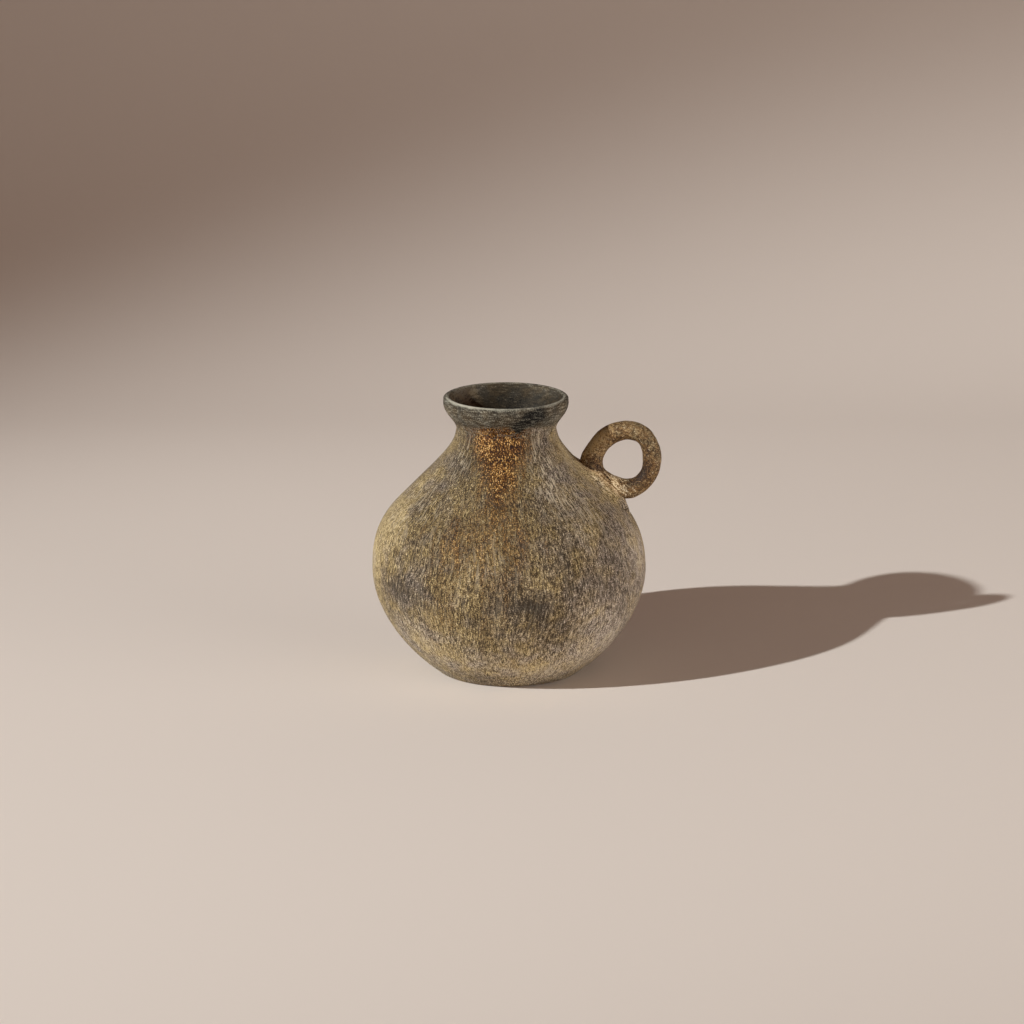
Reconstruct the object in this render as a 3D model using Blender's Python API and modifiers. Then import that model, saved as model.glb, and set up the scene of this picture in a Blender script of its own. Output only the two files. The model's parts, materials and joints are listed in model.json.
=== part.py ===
# A small hand-built bud vase: a pear-shaped clay body with a short neck, a thick
# rolled collar at the mouth and one fixed ring handle on the shoulder.
#
# Metres, +Z up. The origin is the centre of the flat underside, and the handle
# is on the +X side. The pieces are the ones a potter makes and lutes together:
# a base slab, two bowls that meet at the belly, a collar over the neck's spigot,
# a ring of coil, and the saddle of soft clay that the ring is bedded in.

from math import atan2, cos, pi, radians, sin, sqrt

import bmesh
import bpy
import numpy
from mathutils import Matrix, Vector
from mathutils.geometry import interpolate_bezier

MM = 0.001

# Outside of the body: knots of its outline, and how far each curve is pulled
FOOT_RADIUS = 31.8 * MM
FOOT_RISE = radians(34)
FOOT_PULL = 16.7 * MM
BELLY_RADIUS = 59.3 * MM
BELLY_HEIGHT = 44.4 * MM
BELLY_PULL_DOWN = 17.1 * MM
BELLY_PULL_UP = 20.6 * MM
SHOULDER_RADIUS = 43.5 * MM
SHOULDER_HEIGHT = 77.8 * MM
SHOULDER_RISE = radians(46)
SHOULDER_PULL_DOWN = 10.1 * MM
SHOULDER_PULL_UP = 16.4 * MM
NECK_RADIUS = 21.3 * MM
NECK_HEIGHT = 106.0 * MM
NECK_PULL = 7.6 * MM

# Rolled collar at the mouth
RIM_HEIGHT = 120.0 * MM
RIM_RADIUS = 27.0 * MM
RIM_SWELL_HEIGHT = 117.2 * MM
RIM_CREST_RADIUS = 25.0 * MM
RIM_PULL_DOWN = 4.8 * MM
RIM_FOOT_PULL = 3.4 * MM
MOUTH_RADIUS = 23.6 * MM
MOUTH_EDGE_DROP = 0.7 * MM

# The neck leans a little to the left of the foot
RIM_LEAN = 1.4 * MM

# Clay thickness, and the joints between the turned pieces
WALL = 5.0 * MM
GAP = 0.3 * MM
BASE_THICKNESS = 6.0 * MM
BASE_LAND_RISE = 1.5 * MM
FOOT_EDGE = 0.6 * MM
LAP_HEIGHT = 3.6 * MM
SPIGOT_HEIGHT = 3.0 * MM
SPIGOT_WALL = 2.2 * MM

# Ring handle, standing in the plane y = 0. Each row is a bearing from +X in degrees, then
# the radius of the coil's centre line and of the coil itself in mm. It was bent by hand:
# flat at its upper left, full at its upper right, and pressed wide where it meets the shoulder
RING_CENTRE = Vector((48.7, 0.0, 91.9)) * MM
RING_SHAPE = (
    (0, 12.5, 4.15),
    (22, 12.8, 4.2),
    (50, 13.6, 3.95),
    (75, 13.2, 4.15),
    (100, 12.4, 4.45),
    (125, 11.9, 4.5),
    (148, 11.9, 4.45),
    (168, 12.7, 4.75),
    (183, 13.7, 5.2),
    (205, 13.4, 4.6),
    (232, 12.4, 4.4),
    (258, 12.2, 4.5),
    (280, 13.3, 4.7),
    (302, 13.2, 4.0),
    (330, 12.9, 3.95),
)

# Saddle of clay under the ring: where it sits, and the part of it that shows
SADDLE_HEIGHT = 77.5 * MM
SADDLE_LENGTH = 26.5 * MM
SADDLE_WIDTH = 15.0 * MM
SADDLE_RISE = 2.4 * MM
SADDLE_DEPTH = 4.0 * MM

# Facets
TURN_STEPS = 56
BELLY_POINTS = 12
SHOULDER_POINTS = 8
RIM_POINTS = 7
LIP_POINTS = 4
RING_RESOLUTION = 4
COIL_RESOLUTION = 5
SADDLE_SEGMENTS = 32
SADDLE_RINGS = 16
SHARP_ANGLE = radians(40)
WELD_DISTANCE = 0.00005


def clear_scene():
    for old in list(bpy.data.objects):
        bpy.data.objects.remove(old, do_unlink=True)


def new_collection(name):
    collection = bpy.data.collections.new(name)
    bpy.context.scene.collection.children.link(collection)
    return collection


# Materials

def clay(name, colour, roughness):
    material = bpy.data.materials.new(name)
    material.use_nodes = True
    shader = material.node_tree.nodes["Principled BSDF"]
    shader.inputs["Base Color"].default_value = (*colour, 1.0)
    shader.inputs["Roughness"].default_value = roughness
    shader.inputs["Metallic"].default_value = 0.0
    return material


def streaked_slip():
    """Brushed khaki slip over the body."""
    return clay("streaked_slip", (0.16, 0.12, 0.07), 0.85)


def smoked_slip():
    """Dark green-grey slip of the collar, burnished by handling."""
    return clay("smoked_slip", (0.06, 0.06, 0.045), 0.6)


def brown_clay():
    """Bare brown clay of the ring."""
    return clay("brown_clay", (0.11, 0.07, 0.035), 0.7)


def pale_clay():
    """Smeared tan clay at the foot of the ring."""
    return clay("pale_clay", (0.33, 0.25, 0.17), 0.9)


# Outlines, as lists of (radius, height) pairs

def curve(start, pull_start, pull_end, end, points):
    knots = [Vector(start), Vector(pull_start), Vector(pull_end), Vector(end)]
    return [(point.x, point.y) for point in interpolate_bezier(*knots, points)]


def body_outside():
    """Outside of the body, rising from the foot over belly and shoulder to the neck."""
    foot = Vector((FOOT_RADIUS, 0.0))
    belly = Vector((BELLY_RADIUS, BELLY_HEIGHT))
    shoulder = Vector((SHOULDER_RADIUS, SHOULDER_HEIGHT))
    neck = Vector((NECK_RADIUS, NECK_HEIGHT))
    up = Vector((0.0, 1.0))
    foot_slope = Vector((cos(FOOT_RISE), sin(FOOT_RISE)))
    shoulder_slope = Vector((-cos(SHOULDER_RISE), sin(SHOULDER_RISE)))
    below_belly = belly - BELLY_PULL_DOWN * up
    above_belly = belly + BELLY_PULL_UP * up
    below_shoulder = shoulder - SHOULDER_PULL_DOWN * shoulder_slope
    above_shoulder = shoulder + SHOULDER_PULL_UP * shoulder_slope
    below_neck = neck - NECK_PULL * up
    bowl = curve(foot, foot + FOOT_PULL * foot_slope, below_belly, belly, BELLY_POINTS)
    crown = curve(belly, above_belly, below_shoulder, shoulder, SHOULDER_POINTS)
    throat = curve(shoulder, above_shoulder, below_neck, neck, SHOULDER_POINTS)
    return bowl + crown[1:] + throat[1:]


def moved_in(outline, distance):
    """A rising outline moved towards the axis, square to itself."""
    moved = []
    last = len(outline) - 1
    for i, (radius, height) in enumerate(outline):
        along = Vector(outline[min(i + 1, last)]) - Vector(outline[max(i - 1, 0)])
        along.normalize()
        moved.append((radius - distance * along.y, height + distance * along.x))
    return moved


def radius_at(outline, height):
    radii, heights = zip(*outline)
    return float(numpy.interp(height, heights, radii))


def between(outline, low, high):
    """The stretch of a rising outline between two heights, with a point on each."""
    inner = [point for point in outline if low + GAP < point[1] < high - GAP]
    return [(radius_at(outline, low), low), *inner, (radius_at(outline, high), high)]


# Turned pieces

def real_mesh(source, name, collection):
    """Replace an object by a plain mesh of what its curve or modifiers make."""
    evaluated = source.evaluated_get(bpy.context.evaluated_depsgraph_get())
    mesh = bpy.data.meshes.new_from_object(evaluated)
    bpy.data.objects.remove(source, do_unlink=True)
    mesh.shade_smooth()
    mesh.set_sharp_from_angle(angle=SHARP_ANGLE)
    mesh.name = name
    piece = bpy.data.objects.new(name, mesh)
    collection.objects.link(piece)
    return piece


def turned(name, outline, closed, collection):
    """Turn an outline that runs down its outer side about the Z axis."""
    last = len(outline) - 1
    edges = [(i, i + 1) for i in range(last)]
    if closed:
        edges.append((last, 0))
    mesh = bpy.data.meshes.new(name + "_outline")
    mesh.from_pydata([(radius, 0.0, height) for radius, height in outline], edges, [])
    lathe = bpy.data.objects.new(name + "_outline", mesh)
    collection.objects.link(lathe)
    screw = lathe.modifiers.new("turn", "SCREW")
    screw.axis = "Z"
    screw.angle = 2 * pi
    screw.steps = TURN_STEPS
    screw.render_steps = TURN_STEPS
    screw.use_merge_vertices = True
    screw.merge_threshold = WELD_DISTANCE
    return real_mesh(lathe, name, collection)


def lean(piece):
    """Shear a piece to the left with its height, so that its joints stay level."""
    slope = -RIM_LEAN / (RIM_HEIGHT - BELLY_HEIGHT)
    to_belly = Matrix.Translation((0.0, 0.0, -BELLY_HEIGHT))
    piece.data.transform(to_belly.inverted() @ Matrix.Shear("XY", 4, (slope, 0.0)) @ to_belly)


def base_disc(collection):
    """Flat slab: its raised land centres the wall that stands on its ledge."""
    outside = body_outside()
    land_height = BASE_THICKNESS + BASE_LAND_RISE
    land_radius = radius_at(moved_in(outside, WALL), land_height) - GAP
    outline = [(0.0, land_height), (land_radius, land_height), (land_radius, BASE_THICKNESS)]
    outline += reversed(between(outside, FOOT_EDGE, BASE_THICKNESS))
    outline += [(FOOT_RADIUS - FOOT_EDGE, 0.0), (0.0, 0.0)]
    return turned("base_disc", outline, False, collection)


def lap_radius():
    """Where the half-lap at the belly divides the wall."""
    return BELLY_RADIUS - WALL / 2


def lower_bowl(collection):
    """Wall from the slab to the belly, ending in the inner tongue of the half-lap."""
    outside = body_outside()
    inside = moved_in(outside, WALL)
    foot = BASE_THICKNESS + GAP
    land_height = BASE_THICKNESS + BASE_LAND_RISE
    lap_top = BELLY_HEIGHT + LAP_HEIGHT
    outline = [(lap_radius(), lap_top), (lap_radius(), BELLY_HEIGHT)]
    outline += reversed(between(outside, foot, BELLY_HEIGHT))
    outline += [(radius_at(inside, land_height), foot)]
    outline += between(inside, land_height, lap_top)
    return turned("lower_bowl", outline, True, collection)


def upper_bowl(collection):
    """Shoulder and neck, lapped over the tongue and ending in a spigot."""
    outside = body_outside()
    inside = moved_in(outside, WALL)
    lap_top = BELLY_HEIGHT + LAP_HEIGHT + GAP
    spigot_top = NECK_HEIGHT + SPIGOT_HEIGHT
    bore_radius = NECK_RADIUS - WALL
    spigot_radius = bore_radius + SPIGOT_WALL
    outline = [(spigot_radius, spigot_top), (spigot_radius, NECK_HEIGHT)]
    outline += reversed(between(outside, BELLY_HEIGHT + GAP, NECK_HEIGHT))
    outline += [(lap_radius() + GAP, BELLY_HEIGHT + GAP), (lap_radius() + GAP, lap_top)]
    outline += between(inside, lap_top, NECK_HEIGHT)
    outline += [(bore_radius, spigot_top)]
    piece = turned("upper_bowl", outline, True, collection)
    lean(piece)
    return piece


def rim_collar(collection):
    """Rolled lip with a flared mouth, let down over the neck's spigot."""
    foot = NECK_HEIGHT + GAP
    seat = NECK_HEIGHT + SPIGOT_HEIGHT + GAP
    bore_radius = NECK_RADIUS - WALL
    socket_radius = bore_radius + SPIGOT_WALL + GAP
    crest = (RIM_CREST_RADIUS, RIM_HEIGHT)
    swell = (RIM_RADIUS, RIM_SWELL_HEIGHT)
    mouth_edge = (MOUTH_RADIUS, RIM_HEIGHT - MOUTH_EDGE_DROP)
    crest_pull = (RIM_RADIUS - MOUTH_EDGE_DROP, RIM_HEIGHT)
    swell_top_pull = (RIM_RADIUS, RIM_HEIGHT - MOUTH_EDGE_DROP)
    swell_pull = (RIM_RADIUS, RIM_SWELL_HEIGHT - RIM_PULL_DOWN)
    foot_pull = (NECK_RADIUS, foot + RIM_FOOT_PULL)
    flare_start_pull = (bore_radius, seat + RIM_FOOT_PULL)
    flare_end_pull = (MOUTH_RADIUS - MOUTH_EDGE_DROP, RIM_SWELL_HEIGHT)
    lip_pull = (MOUTH_RADIUS + MOUTH_EDGE_DROP, RIM_HEIGHT)
    outline = curve(crest, crest_pull, swell_top_pull, swell, LIP_POINTS)
    outline += curve(swell, swell_pull, foot_pull, (NECK_RADIUS, foot), RIM_POINTS)[1:]
    outline += [(socket_radius, foot), (socket_radius, seat)]
    outline += curve((bore_radius, seat), flare_start_pull, flare_end_pull, mouth_edge, RIM_POINTS)
    outline += [lip_pull]
    piece = turned("rim_collar", outline, True, collection)
    lean(piece)
    return piece


# Handle

def as_cutter(piece):
    piece.hide_render = True
    piece.display_type = "WIRE"
    return piece


def cut(piece, cutter):
    boolean = piece.modifiers.new("seat_on_" + cutter.name, "BOOLEAN")
    boolean.operation = "DIFFERENCE"
    boolean.solver = "EXACT"
    boolean.object = cutter


def shoulder_cutter(cutters):
    """The upper body as a solid, larger all round by the joint's gap."""
    skin = between(moved_in(body_outside(), -GAP), BELLY_HEIGHT, NECK_HEIGHT)
    outline = [(0.0, NECK_HEIGHT), *reversed(skin), (0.0, BELLY_HEIGHT)]
    piece = turned("shoulder_cutter", outline, False, cutters)
    lean(piece)
    return as_cutter(piece)


def shoulder_slope(height):
    """How steeply the shoulder rises at a height."""
    outside = body_outside()
    drawn_in = radius_at(outside, height - GAP) - radius_at(outside, height + GAP)
    return atan2(2 * GAP, drawn_in)


def saddle_blank(name, growth, collection):
    """A flattened ball, sunk in the shoulder under the ring so that its cap shows."""
    neck_lean = RIM_LEAN * (SADDLE_HEIGHT - BELLY_HEIGHT) / (RIM_HEIGHT - BELLY_HEIGHT)
    shoulder_radius = radius_at(body_outside(), SADDLE_HEIGHT)
    slope = shoulder_slope(SADDLE_HEIGHT)
    outward = Vector((sin(slope), 0.0, cos(slope)))
    thickness = SADDLE_DEPTH + SADDLE_RISE
    spread = sqrt(1 - (SADDLE_DEPTH / thickness) ** 2)
    half_length = SADDLE_LENGTH / 2 / spread + growth
    half_width = SADDLE_WIDTH / 2 / spread + growth
    stretch = Matrix.Diagonal((half_length, half_width, thickness + growth, 1.0))
    mesh = bpy.data.meshes.new(name)
    ball = bmesh.new()
    bmesh.ops.create_uvsphere(
        ball, u_segments=SADDLE_SEGMENTS, v_segments=SADDLE_RINGS, radius=1.0, matrix=stretch
    )
    ball.to_mesh(mesh)
    ball.free()
    mesh.shade_smooth()
    piece = bpy.data.objects.new(name, mesh)
    piece.location = Vector((shoulder_radius - neck_lean, 0.0, SADDLE_HEIGHT)) - SADDLE_DEPTH * outward
    piece.rotation_euler = (0.0, slope, 0.0)
    collection.objects.link(piece)
    return piece


def handle_saddle(collection, shoulder):
    """Soft clay pressed out between the ring and the shoulder."""
    piece = saddle_blank("handle_saddle", 0.0, collection)
    cut(piece, shoulder)
    return piece


def ring_handle(collection, shoulder, saddle):
    """A coil bent into a ring, its foot cut to the saddle and the shoulder."""
    coil = bpy.data.curves.new("ring_coil", "CURVE")
    coil.dimensions = "3D"
    coil.bevel_depth = MM
    coil.bevel_resolution = COIL_RESOLUTION
    coil.resolution_u = RING_RESOLUTION
    spline = coil.splines.new("BEZIER")
    spline.bezier_points.add(len(RING_SHAPE) - 1)
    spline.use_cyclic_u = True
    spline.radius_interpolation = "CARDINAL"
    for point, (bearing, ring_radius, coil_radius) in zip(spline.bezier_points, RING_SHAPE):
        angle = radians(bearing)
        point.co = Vector((cos(angle), 0.0, sin(angle))) * ring_radius * MM
        point.handle_left_type = "AUTO"
        point.handle_right_type = "AUTO"
        point.radius = coil_radius
    blank = bpy.data.objects.new("ring_coil", coil)
    collection.objects.link(blank)
    piece = real_mesh(blank, "ring_handle", collection)
    piece.location = RING_CENTRE
    cut(piece, shoulder)
    cut(piece, saddle)
    return piece


def main():
    clear_scene()
    vase = new_collection("bud_vase")
    cutters = new_collection("cutters")
    slip = streaked_slip()
    base_disc(vase).data.materials.append(slip)
    lower_bowl(vase).data.materials.append(slip)
    upper_bowl(vase).data.materials.append(slip)
    rim_collar(vase).data.materials.append(smoked_slip())
    shoulder = shoulder_cutter(cutters)
    saddle_room = as_cutter(saddle_blank("saddle_cutter", GAP, cutters))
    handle_saddle(vase, shoulder).data.materials.append(pale_clay())
    ring_handle(vase, shoulder, saddle_room).data.materials.append(brown_clay())


main()
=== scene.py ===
# %% [markdown]
# # A hand-built bud vase
# This lesson dresses a small clay vase: a pear-shaped body brushed with slip, a dark rolled
# collar at the mouth, and one ring of coil luted to the shoulder. The frame gives the real sizes
# and places. Each step below makes one piece or one finish, says what it is on the real vase,
# and why it is made this way in Blender.

# %% Load the frame
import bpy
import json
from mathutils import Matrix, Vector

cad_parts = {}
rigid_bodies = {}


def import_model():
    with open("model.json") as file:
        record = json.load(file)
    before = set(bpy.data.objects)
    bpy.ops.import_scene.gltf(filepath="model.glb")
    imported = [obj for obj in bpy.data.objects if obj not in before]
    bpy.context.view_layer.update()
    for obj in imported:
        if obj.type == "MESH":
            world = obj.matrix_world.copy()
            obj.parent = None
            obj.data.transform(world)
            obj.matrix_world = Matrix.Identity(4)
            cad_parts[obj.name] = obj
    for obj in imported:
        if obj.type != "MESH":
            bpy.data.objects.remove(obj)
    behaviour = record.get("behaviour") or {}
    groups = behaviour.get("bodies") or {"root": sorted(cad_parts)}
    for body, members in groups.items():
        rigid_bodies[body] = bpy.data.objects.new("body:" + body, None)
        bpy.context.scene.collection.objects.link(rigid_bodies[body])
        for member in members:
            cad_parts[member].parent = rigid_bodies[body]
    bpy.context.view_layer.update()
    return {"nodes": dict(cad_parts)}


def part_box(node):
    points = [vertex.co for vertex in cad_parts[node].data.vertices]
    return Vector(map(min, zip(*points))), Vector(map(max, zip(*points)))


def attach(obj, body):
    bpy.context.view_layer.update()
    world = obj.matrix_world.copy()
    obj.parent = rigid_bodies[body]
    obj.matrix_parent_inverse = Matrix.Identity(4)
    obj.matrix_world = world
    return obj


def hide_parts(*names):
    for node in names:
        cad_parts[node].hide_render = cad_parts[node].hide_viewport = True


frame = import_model()

import json
from math import atan2, cos, exp, hypot, pi, radians, sin

import bpy
import numpy as np
from mathutils import Vector, noise
from mathutils.bvhtree import BVHTree
from mathutils.geometry import interpolate_bezier

MM = 0.001

# %% [markdown]
# ## The camera
# The photograph looks down on the vase from about sixteen degrees, with a long lens: the collar's
# ellipse and the gently bowed foot give that angle. A long lens some way off keeps the pear shape
# from bulging. The small shift puts the vase where the photograph has it in the frame.

# %% Camera
VIEW_ELEVATION = radians(15.88)
VIEW_DISTANCE = 1.2
AIM = Vector((0.0, 0.0, 60.0 * MM))

camera_data = bpy.data.cameras.new("camera")
camera_data.sensor_width = 36.0
camera_data.lens = 97.85
camera_data.shift_x = 0.0029
camera_data.shift_y = 0.0185
camera = bpy.data.objects.new("camera", camera_data)
toward_camera = Vector((0.0, -cos(VIEW_ELEVATION), sin(VIEW_ELEVATION)))
camera.location = AIM + VIEW_DISTANCE * toward_camera
camera.rotation_euler = (-toward_camera).to_track_quat("-Z", "Y").to_euler()
bpy.context.scene.collection.objects.link(camera)
bpy.context.scene.camera = camera
print("camera at", [round(value, 3) for value in camera.location])

# %% [markdown]
# ## Reading the outline off the frame
# The frame's solids are faceted, but their outline is exact. Rays shot at the wall at each
# millimetre of height measure it from outside and from inside, and a little averaging takes the
# facets out. The neck leans slightly to the left, so every ring of the wall has its own centre.

# %% Where the middle of each ring lies
RIM_SWELL_DROP = 2.8 * MM

collar_low, collar_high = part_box("rim_collar")
BELLY_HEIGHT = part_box("upper_bowl")[0].z
NECK_TOP = collar_low.z
RIM_TOP = collar_high.z
LEAN = (collar_low.x + collar_high.x) / 2 / (RIM_TOP - RIM_SWELL_DROP - BELLY_HEIGHT)


def centre_at(height):
    return LEAN * max(0.0, height - BELLY_HEIGHT)


print("the middle of the rim stands", round(centre_at(RIM_TOP) / MM, 2), "mm along X from the foot's")

# %% Helpers that shoot rays at a wall
NODES = frame["nodes"]
RAY_SIDESTEP = 0.1 * MM


def solid_of(*names):
    points, faces = [], []
    for name in names:
        start = len(points)
        mesh = NODES[name].data
        points += [vertex.co.copy() for vertex in mesh.vertices]
        faces += [[start + i for i in polygon.vertices] for polygon in mesh.polygons]
    return BVHTree.FromPolygons(points, faces)


def outside_radius(solid, height):
    start = Vector((centre_at(height) + RAY_SIDESTEP, -1.0, height))
    return -solid.ray_cast(start, Vector((0.0, 1.0, 0.0)))[0].y


def inside_radius(solid, height):
    start = Vector((centre_at(height) + RAY_SIDESTEP, 0.0, height))
    return -solid.ray_cast(start, Vector((0.0, -1.0, 0.0)))[0].y


def measured(radius_of, solid, low, high, smoothing):
    """(radius, height) pairs about a millimetre apart, with the facets averaged out."""
    heights = np.linspace(low, high, round((high - low) / MM) + 1)
    radii = np.array([radius_of(solid, height) for height in heights])
    for _ in range(smoothing):
        radii[1:-1] = (radii[:-2] + 2 * radii[1:-1] + radii[2:]) / 4
    return np.column_stack([radii, heights])


print(len(NODES), "solids in the frame:", sorted(NODES))

# %% Measure the body's wall
FOOT_EDGE_HEIGHT = 0.8 * MM
FLOOR_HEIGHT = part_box("base_disc")[1].z
NECK_END = NECK_TOP - 0.4 * MM
FLOOR_CLEARANCE = 0.4 * MM
WALL_SMOOTHING = 8

body_solid = solid_of("base_disc", "lower_bowl", "upper_bowl")
wall_outside = measured(outside_radius, body_solid, FOOT_EDGE_HEIGHT, NECK_END, WALL_SMOOTHING)
wall_inside = measured(inside_radius, body_solid, FLOOR_HEIGHT + FLOOR_CLEARANCE, NECK_END,
                       WALL_SMOOTHING)
print("belly", round(2 * wall_outside[:, 0].max() / MM, 1), "mm across, neck",
      round(2 * wall_outside[-1, 0] / MM, 1), "mm, mouth of the neck",
      round(2 * wall_inside[-1, 0] / MM, 1), "mm")

# %% [markdown]
# ## One way to make a skin
# Every piece of this vase is a skin of rings: the body's rings lie level, the handle's rings
# stand round its coil. So one helper joins neighbouring rings with quads, and closes an end with
# a fan of triangles. Attributes are numbers kept on each point of the mesh; the materials read
# them later to know where smoke, dust and wear lie, and where light and shade are painted.

# %% Helpers that make a skin
AROUND = 400
SHARP_EDGE = radians(50)


def skin(name, rings, looped=False, poles=()):
    """A closed mesh from rings of points; poles are the middles of its first and last ring."""
    around = len(rings[0])
    points = [point for ring in rings for point in ring] + list(poles)
    faces = []
    pairs = len(rings) if looped else len(rings) - 1
    for i in range(pairs):
        low, high = i * around, (i + 1) % len(rings) * around
        for j in range(around):
            k = (j + 1) % around
            faces.append((low + j, low + k, high + k, high + j))
    if poles:
        last = (len(rings) - 1) * around
        first_pole, last_pole = len(points) - 2, len(points) - 1
        for j in range(around):
            k = (j + 1) % around
            faces.append((first_pole, k, j))
            faces.append((last_pole, last + j, last + k))
    mesh = bpy.data.meshes.new(name)
    mesh.from_pydata(points, [], faces)
    mesh.shade_smooth()
    mesh.set_sharp_from_angle(angle=SHARP_EDGE)
    piece = bpy.data.objects.new(name, mesh)
    bpy.context.scene.collection.objects.link(piece)
    return piece


def keep_numbers(piece, name, values):
    layer = piece.data.attributes.new(name, "FLOAT", "POINT")
    layer.data.foreach_set("value", np.asarray(values, np.float32))


def keep_vectors(piece, name, values):
    layer = piece.data.attributes.new(name, "FLOAT_VECTOR", "POINT")
    layer.data.foreach_set("vector", np.asarray(values, np.float32).ravel())


def unevenness(point, size):
    """Soft noise from -1 to 1 whose lumps are about size across."""
    return noise.noise(point / size)


print("each ring of the pot has", AROUND, "points")

# %% [markdown]
# ## The body
# The body is one hollow pot: outside wall, inside wall and floor. It was shaped by hand and then
# scraped and brushed upwards while damp, so it isn't a perfect turned form: it swells and dips by
# a third of a millimetre, and shallow scrape marks run up it. A Screw modifier would give a
# perfect lathe shape; rings of points let each point move by its own small amount. All of it is
# cut inwards, so the vase never grows past its measured size. Each point also keeps where the brush
# was when it passed, which the slip's strokes follow later.

# %% The body's line, from the middle of the underside round to the middle of the floor
OUTSIDE_STEP = 0.85 * MM
INSIDE_STEP = 2.4 * MM
UNDERSIDE_REACHES = (0.3, 0.6, 0.85, 0.96)
FLOOR_REACHES = (0.97, 0.85, 0.6, 0.3)
FOOT_TUCK = 1.5 * FOOT_EDGE_HEIGHT
NECK_BEVEL, NECK_BEVEL_RISE = 0.6 * MM, 0.15 * MM


def along(outline):
    """How far each point of a line lies along it."""
    steps = np.hypot(*np.diff(outline, axis=0).T)
    return np.concatenate([[0.0], np.cumsum(steps)])


def spaced(outline, step):
    """The same line with its points an even step apart."""
    places = along(outline)
    even = np.linspace(0.0, places[-1], round(places[-1] / step) + 1)
    return np.column_stack([np.interp(even, places, outline[:, i]) for i in (0, 1)])


foot_radius = wall_outside[0, 0] - FOOT_TUCK
underside = [(foot_radius * reach, 0.0) for reach in UNDERSIDE_REACHES]
foot_edge = [(foot_radius, 0.03 * MM), (foot_radius + 0.5 * MM, 0.2 * MM)]
outside = spaced(wall_outside, OUTSIDE_STEP)
neck_face = [(wall_outside[-1, 0] - NECK_BEVEL, NECK_END + NECK_BEVEL_RISE),
             (wall_inside[-1, 0] + NECK_BEVEL, NECK_END + NECK_BEVEL_RISE)]
inside = spaced(wall_inside[::-1], INSIDE_STEP)
floor_line = [(inside[-1, 0] * reach, FLOOR_HEIGHT) for reach in FLOOR_REACHES]

body_line = np.array(underside + foot_edge + list(outside) + neck_face + list(inside) + floor_line)
body_reach = along(body_line)
FIRST_OUTSIDE = len(underside)
LAST_OUTSIDE = FIRST_OUTSIDE + len(foot_edge) + len(outside) - 1
print(len(body_line), "rings of", AROUND, "points;", LAST_OUTSIDE - FIRST_OUTSIDE, "of them outside")

# %% The body's skin
SWELL_SIZE, SWELL_DEPTH = 34 * MM, 0.28 * MM
SCRAPE_WIDTH, SCRAPE_DEPTH = 3.6 * MM, 0.09 * MM
SCRAPE_STRETCH = 0.13
FOOT_FADE, NECK_FADE = 6 * MM, 5 * MM
BRUSH_RADIUS, BRUSH_EASE = 46 * MM, 0.25
SWAY_RADIUS, SWAY_SIZE, SWAY_ANGLE = 30 * MM, 20 * MM, 0.045


def brush_place(j, radius, reach):
    """Where the brush was when it passed a point: around the pot, swaying a little, and up it."""
    turn = 2 * pi * j / AROUND
    place = Vector((SWAY_RADIUS * cos(turn), SWAY_RADIUS * sin(turn), reach))
    turn += SWAY_ANGLE * unevenness(place, SWAY_SIZE)
    eased = BRUSH_RADIUS * (radius / BRUSH_RADIUS) ** BRUSH_EASE
    return Vector((eased * cos(turn), eased * sin(turn), reach))


body_rings, body_brush = [], []
for i, (radius, height) in enumerate(body_line):
    outer = FIRST_OUTSIDE <= i <= LAST_OUTSIDE
    fade = min(1.0, height / FOOT_FADE, (NECK_END - height) / NECK_FADE) if outer else 0.0
    fade = max(0.0, fade)
    ring = []
    for j in range(AROUND):
        outward = Vector((cos(2 * pi * j / AROUND), sin(2 * pi * j / AROUND), 0.0))
        brush = brush_place(j, radius, body_reach[i])
        point = outward * radius + Vector((centre_at(height), 0.0, height))
        scrape = Vector((brush.x, brush.y, brush.z * SCRAPE_STRETCH))
        cut = SWELL_DEPTH * (1 + unevenness(point, SWELL_SIZE)) / 2
        cut += SCRAPE_DEPTH * (1 + unevenness(scrape, SCRAPE_WIDTH)) / 2
        ring.append(point - outward * cut * fade)
        body_brush.append(brush)
    body_rings.append(ring)

body = skin("pot_body", body_rings, poles=(Vector((0, 0, 0)), Vector((0, 0, FLOOR_HEIGHT))))
body_brush += [Vector((0, 0, 0)), Vector((0, 0, body_reach[-1]))]
keep_vectors(body, "brush", body_brush)
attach(body, "root")
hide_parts("base_disc", "lower_bowl", "upper_bowl")
print("body:", len(body.data.polygons), "faces")

# %% [markdown]
# ## The collar
# The collar is a band of clay rolled over at the mouth: a round outer swell, a soft lip that is
# worn along its inner edge, and a flared throat with faint finger rings. The outline again comes
# from the frame. A Bevel modifier could round a square lip, but evenly, so two short Bezier curves
# roll this one over its crest and down to its inner edge. Its foot starts exactly on the neck's last
# ring, as clay that was smoothed into one.

# %% The collar's line
COLLAR_STEP = 0.42 * MM
SOCKET_DEPTH = 0.7 * MM
LIP_POINTS = 9
OUTER_SPAN = (NECK_TOP + 0.2 * MM, RIM_TOP - 1.2 * MM)
INNER_SPAN = (NECK_TOP + 3.2 * MM, RIM_TOP - 1.4 * MM)
CREST_RADIUS = 25.0 * MM
COLLAR_SMOOTHING = 2

collar_solid = solid_of("rim_collar")
collar_outside = measured(outside_radius, collar_solid, *OUTER_SPAN, COLLAR_SMOOTHING)
collar_inside = measured(inside_radius, collar_solid, *INNER_SPAN, COLLAR_SMOOTHING)
neck_radius, neck_bore = wall_outside[-1, 0], wall_inside[-1, 0]


def bezier(start, first_pull, second_pull, end):
    """Points on a curve in the (radius, height) plane, the ends included."""
    knots = [Vector((radius, height, 0.0)) for radius, height in (start, first_pull, second_pull, end)]
    return [tuple(point.xy) for point in interpolate_bezier(*knots, LIP_POINTS)]


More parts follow.
